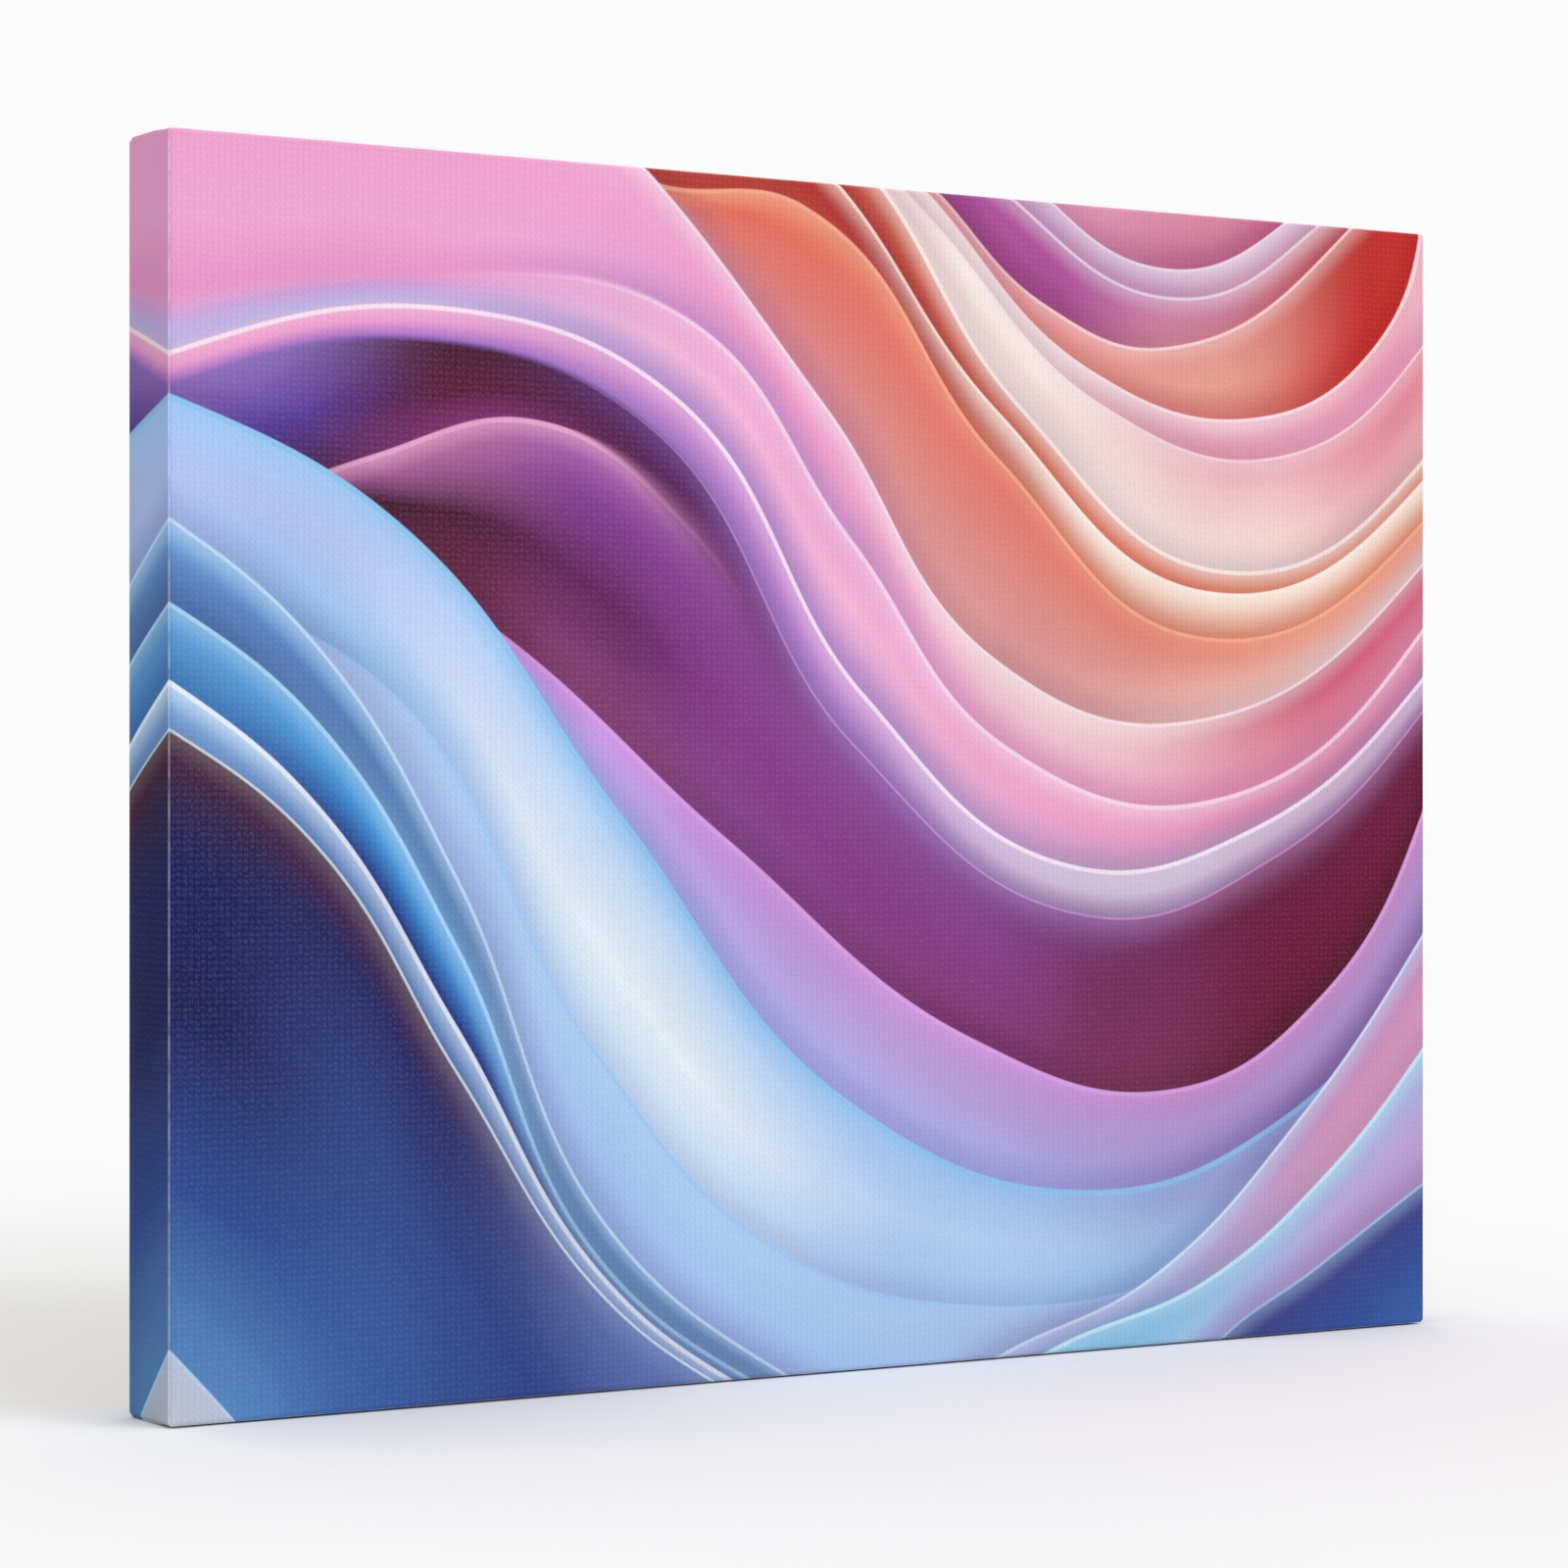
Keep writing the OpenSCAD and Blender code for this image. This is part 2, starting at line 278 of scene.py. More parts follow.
def straight_side(sheet, side, grid, back):
    """One side of the canvas, from the face's grid round to the back's grid."""
    level = side in ("top", "bottom")
    edge = LAST_Z if side == "top" else 0 if side == "bottom" else None
    column = LAST_X if side == "right" else 0
    outward = 1 if side in ("top", "right") else -1
    places = XS if level else ZS
    last_points = [grid[edge][i] if level else grid[i][column] for i in range(len(places))]
    last_marks = [
        mark_side(side, place, place, 0.0) if not level else mark_side(side, place, 0, 0.0)
        for place in places
    ]
    for out, y, along, normal_out, normal_back in PROFILE:
        row, marks = [], []
        for place in places:
            rise = side_rise(place, y) if level else 0.0
            reach = out + rise * normal_out
            depth = y + rise * normal_back
            if level:
                spot = (place, depth, ZS[edge] + outward * reach)
            else:
                spot = (XS[column] + outward * reach, depth, place)
            row.append(sheet.point(*spot))
            marks.append(mark_side(side, place, place, along))
        sheet.strip(last_points, row, last_marks, marks)
        last_points, last_marks = row, marks
    rim = [back[i] for i in range(len(places))]
    rim_marks = [mark_side(side, place, place, BACK_ALONG) for place in places]
    sheet.strip(last_points, rim, last_marks, rim_marks)


def corner_turn(sheet, side_x, side_z, face_corner, back_corner):
    """The rounded corner between two sides. Its cloth belongs to the left or right side."""
    side = "left" if side_x < 0 else "right"
    x, z = (LEFT, RIGHT)[side_x > 0], (BOTTOM, TOP)[side_z > 0]
    x, z = x - side_x * CORNER_R, z - side_z * CORNER_R
    angles = [math.pi / 2 * i / ARC_STEPS for i in range(ARC_STEPS + 1)]
    rows, marks = [], []
    for out, y, along, _, _ in PROFILE:
        spots = [
            (x + side_x * out * math.cos(a), y, z + side_z * out * math.sin(a))
            for a in angles
        ]
        rows.append([sheet.point(*spot) for spot in spots])
        marks.append([mark_side(side, spot[0], spot[2], along) for spot in spots])
    for first, second, a, b in zip(rows, rows[1:], marks, marks[1:]):
        sheet.strip(first, second, a, b)
    for row, row_marks, middle, middle_mark in (
        (rows[0], marks[0], face_corner, mark_side(side, x, z, 0.0)),
        (rows[-1], marks[-1], back_corner, mark_side(side, x, z, BACK_ALONG)),
    ):
        for i in range(ARC_STEPS):
            sheet.face([middle, row[i], row[i + 1]], [middle_mark, row_marks[i], row_marks[i + 1]])


def back_point(sheet, made, level, i, j):
    """A point of the flaps on the back. Level flaps are the top's and the bottom's."""
    key = (level, i, j)
    if key not in made:
        x, z = XS[i], ZS[j]
        rise = back_rise(x, z) if level else 0.0
        inset = inset_z(z) if level else inset_x(x)
        cut = smooth(inset, FLAP_W - 6 * MM, FLAP_W)
        if level:
            rise += edge_lift(x, LEFT, RIGHT, STAPLES_WIDE) * cut
        else:
            rise += edge_lift(z, BOTTOM, TOP, STAPLES_TALL) * cut
        shift = waver(x if level else z) * cut * smooth(inset_x(x) + inset_z(z), 55 * MM, 70 * MM)
        if level:
            z += shift
        else:
            x += shift
        made[key] = sheet.point(x, BACK_Y + rise, z)
    return made[key]


def back_mark(level, i, j):
    x, z = XS[i], ZS[j]
    if level:
        side = "top" if j > LAST_Z / 2 else "bottom"
        return mark_side(side, x, z, BACK_ALONG + inset_z(z) - CORNER_R)
    side = "right" if i > LAST_X / 2 else "left"
    return mark_side(side, x, z, BACK_ALONG + inset_x(x) - CORNER_R)


def back_flaps(sheet):
    """The four folded flaps. Where two meet at a corner, the grid's diagonal parts them."""
    made = {}
    for i in range(LAST_X):
        for j in range(LAST_Z):
            from_x = min(i, LAST_X - 1 - i)
            from_z = min(j, LAST_Z - 1 - j)
            if min(from_x, from_z) >= FLAP_STEPS:
                continue
            square = [(i, j), (i + 1, j), (i + 1, j + 1), (i, j + 1)]
            if from_x != from_z:
                pieces = [(from_z < from_x, square)]
            else:
                outer = (i if i < LAST_X / 2 else i + 1, j if j < LAST_Z / 2 else j + 1)
                start = square.index(outer)
                a, b, c, d = square[start:] + square[:start]
                level_b = b[1] == a[1]
                pieces = [(level_b, [a, b, c]), (not level_b, [a, c, d])]
            for level, corners in pieces:
                sheet.face(
                    [back_point(sheet, made, level, *corner) for corner in corners],
                    [back_mark(level, *corner) for corner in corners],
                )
    return made


# The folded edge that shows on each corner: how far it reaches past the fold's line and
# how high it stands there, both as shares of the fold's full height.
LIP = [(0.0, 1.0), (0.55, 0.96), (0.95, 0.72), (1.15, 0.3), (1.1, -0.3)]


def fold_lip(sheet, side_x, side_z):
    """The edge of a corner fold, down the side at the corner and along the back's diagonal."""
    side = "top" if side_z > 0 else "bottom"
    i = LAST_X if side_x > 0 else 0
    j = LAST_Z if side_z > 0 else 0
    x, z = XS[i], ZS[j]
    line = []
    for out, y, along, normal_out, normal_back in PROFILE:
        rise = side_rise(x, y)
        base = Vector((x, y, z + side_z * out))
        normal = Vector((0, normal_back, side_z * normal_out))
        line.append((base, normal, Vector((side_x, 0, 0)), rise, mark_side(side, x, z, along)))
    for k in range(FLAP_STEPS + 1):
        i_k = i - side_x * k
        j_k = j - side_z * k
        base = Vector((XS[i_k], BACK_Y, ZS[j_k]))
        past = Vector((side_x, 0, -side_z)).normalized()
        rise = back_rise(base.x, base.z)
        line.append((base, Vector((0, 1, 0)), past, rise, back_mark(True, i_k, j_k)))
    columns = []
    for reach, height in LIP:
        columns.append([
            sheet.point(*(base + normal * rise * height + past * rise * reach))
            for base, normal, past, rise, _ in line
        ])
    marks = [entry[-1] for entry in line]
    for first, second in zip(columns, columns[1:]):
        sheet.strip(first, second, marks, marks)


def printed_cloth(material):
    """The outer side of the cloth: face, sides and the flaps folded over the back."""
    sheet = Sheet()
    grid = face_grid(sheet, 0.0)
    back = back_flaps(sheet)
    straight_side(sheet, "top", grid, [back[(True, i, LAST_Z)] for i in range(len(XS))])
    straight_side(sheet, "bottom", grid, [back[(True, i, 0)] for i in range(len(XS))])
    straight_side(sheet, "left", grid, [back[(False, 0, j)] for j in range(len(ZS))])
    straight_side(sheet, "right", grid, [back[(False, LAST_X, j)] for j in range(len(ZS))])
    for side_x in (-1, 1):
        for side_z in (-1, 1):
            i = LAST_X if side_x > 0 else 0
            j = LAST_Z if side_z > 0 else 0
            corner_turn(sheet, side_x, side_z, grid[j][i], back[(False, i, j)])
            fold_lip(sheet, side_x, side_z)
    return sheet.finish("canvas_cloth_printed", material)


def cut_edge():
    """The flaps' cut edge as four rows of places (x, z, lift)."""
    inner_x = [x for x in XS if inset_x(x) > FLAP_W - 0.01 * MM]
    inner_z = [z for z in ZS if inset_z(z) > FLAP_W - 0.01 * MM]
    rows = []
    for z, toward in ((TOP - FLAP_W, -1), (BOTTOM + FLAP_W, 1)):
        rows.append([
            (x, z + waver(x) * smooth(inset_x(x) + FLAP_W, 55 * MM, 70 * MM),
             edge_lift(x, LEFT, RIGHT, STAPLES_WIDE) + back_rise(x, z), (0, toward))
            for x in inner_x
        ])
    for x, toward in ((LEFT + FLAP_W, 1), (RIGHT - FLAP_W, -1)):
        rows.append([
            (x + waver(z) * smooth(inset_z(z) + FLAP_W, 55 * MM, 70 * MM), z,
             edge_lift(z, BOTTOM, TOP, STAPLES_TALL), (toward, 0))
            for z in inner_z
        ])
    return rows


def reverse_cloth(material):
    """The raw side of the cloth, seen inside the frame and at the flaps' cut edge."""
    sheet = Sheet()
    face_grid(sheet, CLOTH_T)
    for row in cut_edge():
        outer = [sheet.point(x, BACK_Y + lift, z) for x, z, lift, _ in row]
        inner = [sheet.point(x, BACK_Y + lift - CLOTH_T, z) for x, z, lift, _ in row]
        under = [
            sheet.point(x - toward[0] * 3 * MM, BACK_Y - CLOTH_T, z - toward[1] * 3 * MM)
            for x, z, _, toward in row
        ]
        marks = [mark_face(x, z) for x, z, _, _ in row]
        sheet.strip(outer, inner, marks, marks)
        sheet.strip(inner, under, marks, marks)
    return sheet.finish("canvas_cloth_reverse", material)


THREAD_R = 0.14 * MM
THREAD_SIDES = 5
THREAD_STEPS = 5
THREADS_PER_M = 260


def frayed_threads(material):
    """Loose thread ends along the cut edge, each a thin curved tube."""
    sheet = Sheet()
    draw = random.Random(11)
    for row in cut_edge():
        for (x0, z0, lift0, toward), (x1, z1, lift1, _) in zip(row, row[1:]):
            span = math.hypot(x1 - x0, z1 - z0)
            if draw.random() > span * THREADS_PER_M * 0.5:
                continue
            share = draw.random()
            start = Vector((x0 + (x1 - x0) * share, BACK_Y + lift0 - CLOTH_T / 2, z0 + (z1 - z0) * share))
            lean = draw.uniform(-0.9, 0.9)
            heading = Vector((toward[0] + lean * abs(toward[1]), draw.uniform(-0.15, 0.45),
                              toward[1] + lean * abs(toward[0]))).normalized()
            bend = draw.uniform(-0.5, 0.5)
            thread(sheet, start, heading, bend, draw.uniform(1.5, 5.5) * MM)
    return sheet.finish("canvas_cloth_fray", material)


def thread(sheet, start, heading, bend, length):
    """One thread end from start, that bends sideways over its length."""
    across = heading.cross(Vector((0, 1, 0))).normalized()
    rings = []
    for step in range(THREAD_STEPS + 1):
        share = step / THREAD_STEPS
        middle = start + heading * length * share + across * bend * length * share * share
        radius = THREAD_R * (1 - 0.6 * share * share)
        up = heading.cross(across).normalized()
        rings.append([
            sheet.point(*(middle + (across * math.cos(turn) + up * math.sin(turn)) * radius))
            for turn in (2 * math.pi * k / THREAD_SIDES for k in range(THREAD_SIDES))
        ])
    mark = mark_face(start.x, start.z)
    for first, second in zip(rings, rings[1:]):
        for k in range(THREAD_SIDES):
            other = (k + 1) % THREAD_SIDES
            sheet.face([first[k], first[other], second[other], second[k]], [mark] * 4)
    sheet.face(list(reversed(rings[0])), [mark] * THREAD_SIDES)
    sheet.face(rings[-1], [mark] * THREAD_SIDES)


# ====================================================================================
# Shader tools
# ====================================================================================


def linear(code):
    """A colour written as sRGB hex, as the linear values that sockets hold."""
    values = [int(code[i:i + 2], 16) / 255 for i in (1, 3, 5)]
    return (*[v / 12.92 if v <= 0.04045 else ((v + 0.055) / 1.055) ** 2.4 for v in values], 1.0)


class Shader:
    """A material's nodes, with a short call for each kind that the looks below use."""

    def __init__(self, name):
        self.material = bpy.data.materials.new(name)
        self.material.use_nodes = True
        self.tree = self.material.node_tree
        self.surface = self.tree.nodes["Principled BSDF"]

    def feed(self, socket, value):
        if isinstance(value, bpy.types.NodeSocket):
            self.tree.links.new(value, socket)
        elif isinstance(value, str):
            socket.default_value = linear(value)
        else:
            socket.default_value = value

    def node(self, kind, inputs, **settings):
        made = self.tree.nodes.new(kind)
        for name, value in settings.items():
            setattr(made, name, value)
        for socket, value in inputs.items():
            self.feed(made.inputs[socket], value)
        return made

    def math(self, operation, a, b=0.0, c=0.0):
        return self.node("ShaderNodeMath", {0: a, 1: b, 2: c}, operation=operation).outputs[0]

    def remap(self, value, low, high, to_low=0.0, to_high=1.0, kind="SMOOTHSTEP"):
        """A smooth step stays between its ends by itself, and takes less room unclamped."""
        inputs = {0: value, 1: low, 2: high, 3: to_low, 4: to_high}
        clamped = kind == "LINEAR"
        made = self.node("ShaderNodeMapRange", inputs, interpolation_type=kind, clamp=clamped)
        return made.outputs[0]

    def mix(self, share, a, b, blend="MIX"):
        made = self.node("ShaderNodeMix", {}, data_type="RGBA", blend_type=blend)
        self.feed(made.inputs[0], share)
        self.feed(made.inputs[6], a)
        self.feed(made.inputs[7], b)
        return made.outputs[2]

    def ramp(self, share, stops):
        """A colour band. stops are (place from 0 to 1, sRGB hex)."""
        if len(stops) == 2 and stops[0][0] == 0.0 and stops[1][0] == 1.0:
            return self.mix(share, stops[0][1], stops[1][1])
        made = self.node("ShaderNodeValToRGB", {})
        band = made.color_ramp.elements
        band[0].position = stops[0][0]
        band[0].color = linear(stops[0][1])
        band[1].position = stops[-1][0]
        band[1].color = linear(stops[-1][1])
        for place, code in stops[1:-1]:
            band.new(place).color = linear(code)
        self.feed(made.inputs[0], share)
        return made.outputs[0]

    def noise(self, vector, scale, detail=3.0, roughness=0.5):
        inputs = {"Vector": vector, "Scale": scale, "Detail": detail, "Roughness": roughness}
        return self.node("ShaderNodeTexNoise", inputs).outputs[0]

    def place(self, scale=(1, 1, 1), shift=(0, 0, 0), turn=(0, 0, 0)):
        """The point's place on its object, moved, turned and scaled."""
        spot = self.node("ShaderNodeTexCoord", {}).outputs["Object"]
        inputs = {"Vector": spot, "Location": shift, "Rotation": turn, "Scale": scale}
        return self.node("ShaderNodeMapping", inputs).outputs[0]

    def bump(self, height, distance, strength=1.0):
        inputs = {"Height": height, "Distance": distance, "Strength": strength}
        made = self.node("ShaderNodeBump", inputs)
        self.feed(self.surface.inputs["Normal"], made.outputs[0])

    def set(self, **values):
        """Feeds the surface's sockets: colour, roughness, metallic, sheen and so on."""
        names = {
            "colour": "Base Color", "roughness": "Roughness", "metallic": "Metallic",
            "specular": "Specular IOR Level", "sheen": "Sheen Weight",
            "sheen_roughness": "Sheen Roughness", "subsurface": "Subsurface Weight",
        }
        for name, value in values.items():
            self.feed(self.surface.inputs[names[name]], value)


# ====================================================================================
# The print: broad ribbons of colour that sweep across the canvas
# ====================================================================================

# Each ribbon covers everything below its edge, and the next one covers its lower part.
# An edge is a smooth curve through a few (across, down) shares of the face. Colours run
# from a ribbon's edge to the next ribbon's edge: each look is (place across, stops).

RIBBONS = [
    {
        "edge": None,
        "looks": [
            (0.60, [(0.0, "#ecb4d0"), (1.0, "#e9a6c2")]),
            (0.80, [(0.0, "#ead0e0"), (0.5, "#e499b0"), (1.0, "#c8688c")]),
            (0.92, [(0.0, "#dc90a8"), (1.0, "#c8587c")]),
        ],
    },
    {
        "edge": [(0.0, -0.60), (0.63, -0.03), (0.76, 0.05), (0.87, 0.0), (1.0, -0.2)],
        "rim": ("#f0e2ee", 1.0 * MM),
        "looks": [
            (0.66, [(0.0, "#d8b4d4"), (1.0, "#cc9cc4")]),
            (0.85, [(0.0, "#e4cce0"), (1.0, "#d8a8bc")]),
        ],
    },
    {
        "edge": [(0.0, -0.60), (0.62, -0.01), (0.77, 0.075), (0.90, 0.0), (1.0, -0.14)],
        "rim": ("#ecdcea", 1.2 * MM),
        "looks": [
            (0.66, [(0.0, "#b050a0"), (1.0, "#a8488c")]),
            (0.78, [(0.0, "#c878a4"), (1.0, "#d88c98")]),
            (0.92, [(0.0, "#dca0a0"), (1.0, "#c84c54")]),
        ],
    },
    {
        "edge": [(0.0, -0.60), (0.57, 0.0), (0.66, 0.09), (0.76, 0.12), (0.93, 0.0), (1.0, -0.12)],
        "rim": ("#fadcdc", 1.2 * MM),
        "looks": [
            (0.60, [(0.0, "#ec8488"), (1.0, "#f09c90")]),
            (0.80, [(0.0, "#e09088"), (0.6, "#e8a090"), (1.0, "#e48478")]),
            (0.95, [(0.0, "#b82c24"), (1.0, "#cc2414")]),
        ],
    },
    {
        "edge": [(0.0, -0.60), (0.56, 0.0), (0.70, 0.145), (0.84, 0.178), (0.95, 0.11), (1.0, -0.04)],
        "rim": ("#fbe8ea", 1.2 * MM),
        "looks": [
            (0.62, [(0.0, "#f6ece8"), (1.0, "#f2dcd8")]),
            (0.80, [(0.0, "#f0b8cc"), (1.0, "#eca4b8")]),
            (0.97, [(0.0, "#e88ca4"), (1.0, "#f0a8c4")]),
        ],
    },
    {
        "edge": [(0.0, -0.60), (0.57, 0.03), (0.71, 0.175), (0.86, 0.212), (1.0, 0.10)],
        "rim": ("#f8dce4", 1.0 * MM),
        "looks": [
            (0.62, [(0.0, "#f8f0ea"), (0.6, "#f4e0d8"), (1.0, "#f6ece4")]),
            (0.84, [(0.0, "#eaa8b8"), (0.4, "#f2c8c8"), (1.0, "#f6e4dc")]),
            (0.98, [(0.0, "#e08090"), (0.5, "#e4929c"), (1.0, "#f0c0bc")]),
        ],
    },
    {
        "edge": [(0.0, -0.40), (0.5, -0.03), (0.64, 0.18), (0.82, 0.315), (1.0, 0.205)],
        "rim": ("#fffaf6", 1.6 * MM),
        "looks": [
            (0.52, [(0.0, "#dc7c5c"), (1.0, "#c03828")]),
            (0.72, [(0.0, "#f0a88c"), (1.0, "#e8805c")]),
            (0.95, [(0.0, "#f0b498"), (1.0, "#ec8c64")]),
        ],
    },
    {
        "edge": [(0.0, -0.36), (0.47, -0.02), (0.62, 0.185), (0.81, 0.335), (1.0, 0.225)],
        "rim": ("#fff0e6", 1.2 * MM),
        "looks": [
            (0.50, [(0.0, "#d86848"), (0.5, "#b82c24"), (1.0, "#c84432")]),
            (0.72, [(0.0, "#f8e8dc"), (0.5, "#f0c8b4"), (1.0, "#e8946c")]),
            (0.95, [(0.0, "#fbe8dc"), (0.5, "#f4c8b0"), (1.0, "#ec9870")]),
        ],
    },
    {
        "edge": [(0.0, -0.20), (0.34, 0.01), (0.46, 0.02), (0.62, 0.225), (0.80, 0.375), (1.0, 0.262)],
        "rim": ("#f6b090", 1.4 * MM),
        "looks": [
            (0.42, [(0.0, "#f09070"), (0.25, "#e46c54"), (0.6, "#e07a72"), (1.0, "#dc8c9c")]),
            (0.62, [(0.0, "#e47460"), (0.4, "#e08478"), (1.0, "#dea09e")]),
            (0.92, [(0.0, "#e4846c"), (0.4, "#e8a494"), (1.0, "#f0d4ca")]),
        ],
    },
    {
        "edge": [(0.0, -0.28), (0.30, -0.04), (0.48, 0.19), (0.62, 0.40), (0.78, 0.45), (1.0, 0.30)],
        "rim": ("#fbe4f0", 1.2 * MM),
        "looks": [
            (0.14, [(0.0, "#f4b8d6"), (0.55, "#f0a0ca"), (0.85, "#f2a8d2"), (1.0, "#e894c8")]),
            (0.46, [(0.0, "#f4b0d4"), (0.5, "#f2a2cc"), (1.0, "#dca0dc")]),
            (0.66, [(0.0, "#f6dcd8"), (0.5, "#f0c4d0"), (1.0, "#f0a8c8")]),
            (0.94, [(0.0, "#b83850"), (0.4, "#d4607e"), (1.0, "#e490ac")]),
        ],
    },
    {
        "edge": [(0.0, 0.13), (0.16, 0.10), (0.36, 0.115), (0.50, 0.30), (0.63, 0.475), (0.80, 0.52), (1.0, 0.36)],
        "rim": ("#f8dcf0", 1.6 * MM),
        "looks": [
            (0.10, [(0.0, "#ec9cc8"), (0.4, "#d4a8e0"), (0.75, "#ccc4f4"), (1.0, "#dcd0f6")]),
            (0.44, [(0.0, "#f0a0d4"), (0.5, "#f8b8d8"), (1.0, "#c098dc")]),
            (0.70, [(0.0, "#f4b4d0"), (0.5, "#eca0c4"), (1.0, "#c8a8d0")]),
            (0.94, [(0.0, "#d4708c"), (0.5, "#dc84a8"), (1.0, "#c890b4")]),
        ],
        "fades": (0.42, 0.16, 4 * MM),
    },
    {
        "edge": [(0.0, 0.172), (0.20, 0.125), (0.36, 0.185), (0.51, 0.43), (0.68, 0.575), (0.84, 0.545), (1.0, 0.405)],
        "rim": ("#fdf2fa", 1.6 * MM),
        "looks": [
            (0.10, [(0.0, "#f4a4c8"), (0.5, "#ec98cc"), (1.0, "#9468c4")]),
            (0.44, [(0.0, "#dc9cdc"), (1.0, "#a078c8")]),
            (0.72, [(0.0, "#c8b8d8"), (0.5, "#d4c8dc"), (1.0, "#a88cb8")]),
            (0.94, [(0.0, "#c4a8cc"), (0.5, "#d0b0d0"), (1.0, "#a880b0")]),
        ],
        "glow": 0.15,
    },
    {
        "edge": [(0.0, 0.2), (0.18, 0.152), (0.34, 0.21), (0.50, 0.47), (0.70, 0.62), (0.86, 0.57), (1.0, 0.435)],
        "rim": ("#c898d0", 0.9 * MM),
        "looks": [
            (0.05, [(0.0, "#8c6cb8"), (0.5, "#583ca4"), (1.0, "#3c1c4c")]),
            (0.20, [(0.0, "#440824"), (0.6, "#5c0c30"), (1.0, "#8c3078")]),
            (0.36, [(0.0, "#5c2c78"), (1.0, "#581040")]),
            (0.50, [(0.0, "#8c5cac"), (1.0, "#8c4c98")]),
            (0.68, [(0.0, "#8c5898"), (1.0, "#783874")]),
            (0.84, [(0.0, "#8c4c78"), (1.0, "#641434")]),
        ],
        "fades": (0.46, 0.24, 1.5 * MM),
        "glow": 0.12,
    },
    {
        "edge": [(0.0, 0.32), (0.14, 0.245), (0.26, 0.212), (0.37, 0.29), (0.50, 0.505), (0.68, 0.65), (0.85, 0.615), (1.0, 0.475)],
        "rim": ("#ecacd0", 1.8 * MM),
        "looks": [
            (0.19, [(0.0, "#c878ac"), (0.25, "#a05890"), (0.5, "#480828"), (1.0, "#782048")]),
            (0.30, [(0.0, "#b068b0"), (0.22, "#843890"), (0.55, "#641858"), (1.0, "#8c4078")]),
            (0.42, [(0.0, "#8c4494"), (0.5, "#88348c"), (1.0, "#884088")]),
            (0.60, [(0.0, "#883c8c"), (1.0, "#80306c")]),
            (0.73, [(0.0, "#742454"), (1.0, "#7c2c54")]),
            (0.88, [(0.0, "#70083c"), (0.6, "#6a0432"), (1.0, "#600228")]),
        ],
        "fades": (0.27, 0.43, 11 * MM),
        "glow": 0.45,
    },
    {
        "edge": [(0.0, 0.24), (0.22, 0.375), (0.40, 0.55), (0.60, 0.725), (0.77, 0.775), (0.90, 0.70), (1.0, 0.525)],
        "rim": ("#dca4e8", 1.6 * MM),
        "looks": [
            (0.28, [(0.0, "#cc88e0"), (0.6, "#c0a8ec"), (1.0, "#a8b8f4")]),
            (0.60, [(0.0, "#c890d4"), (0.5, "#b4a0d8"), (1.0, "#a8b0ec")]),
            (0.92, [(0.0, "#b878ac"), (0.4, "#b090cc"), (1.0, "#8c78b8")]),
        ],
    },
    {
        "edge": [(0.0, 0.205), (0.16, 0.30), (0.32, 0.53), (0.50, 0.775), (0.70, 0.86), (0.86, 0.81), (1.0, 0.66)],
        "rim": ("#8cc4f0", 2.0 * MM),
        "looks": [
            (0.06, [(0.0, "#a4ccf8"), (0.4, "#b4c4f4"), (1.0, "#8cc0f0")]),
            (0.34, [(0.0, "#9cc8f4"), (0.22, "#c4dcf6"), (0.6, "#e8f2f6"), (1.0, "#c0dcf6")]),
            (0.56, [(0.0, "#9cc0ee"), (0.5, "#b8d4f4"), (1.0, "#a4c4f0")]),
            (0.90, [(0.0, "#9488c0"), (0.5, "#8ca0d4"), (1.0, "#84bce0")]),
        ],
    },
    {
        "edge": [(0.0, 0.36), (0.14, 0.42), (0.30, 0.72), (0.43, 0.885), (0.58, 0.95), (0.80, 0.93), (1.0, 0.80)],
        "rim": ("#a0c8f4", 1.4 * MM),
        "looks": [
            (0.10, [(0.0, "#b0ccf4"), (1.0, "#88b4e8")]),
            (0.40, [(0.0, "#b4d4f4"), (0.5, "#a0c0f0"), (1.0, "#94b4ec")]),
            (0.90, [(0.0, "#a0a8d8"), (1.0, "#88a8d4")]),
        ],
        "reach": 0.2,
        "shade": 0.2,
    },
    {
        "edge": [(0.0, 0.30), (0.10, 0.395), (0.20, 0.58), (0.31, 0.865), (0.45, 1.0), (1.0, 1.3)],
        "rim": ("#cce4f8", 1.2 * MM),
        "looks": [
            (0.02, [(0.0, "#7cb4e8"), (0.5, "#5888c4"), (1.0, "#4c78b4")]),
            (0.22, [(0.0, "#5c98d0"), (0.5, "#4c80b8"), (1.0, "#78b0dc")]),
        ],
    },
    {
        "edge": [(0.0, 0.365), (0.10, 0.455), (0.20, 0.635), (0.30, 0.885), (0.42, 1.0), (1.0, 1.3)],
        "rim": ("#b4dcf6", 1.4 * MM),
        "looks": [
            (0.02, [(0.0, "#64a4dc"), (1.0, "#3c84c8")]),
            (0.16, [(0.0, "#58b0e8"), (0.5, "#3890d8"), (1.0, "#16308c")]),
            (0.30, [(0.0, "#48a0dc"), (1.0, "#18248c")]),
        ],
    },
    {
        "edge": [(0.0, 0.425), (0.10, 0.52), (0.20, 0.70), (0.31, 0.91), (0.42, 1.01), (1.0, 1.35)],
        "rim": ("#f4fafe", 1.6 * MM),
        "looks": [
            (0.02, [(0.0, "#a0ccf0"), (1.0, "#6ca0d8")]),
            (0.20, [(0.0, "#7cb0e0"), (1.0, "#4c7cbc")]),
        ],
    },
    {
        "edge": [(0.0, 0.462), (0.10, 0.552), (0.20, 0.735), (0.31, 0.925), (0.42, 1.02), (1.0, 1.4)],
        "rim": ("#dceefa", 1.0 * MM),
        "looks": [
            (0.02, [(0.0, "#501424"), (0.1, "#281848"), (0.2, "#101458"), (0.42, "#101454"), (0.7, "#284890"), (1.0, "#5890c8")]),
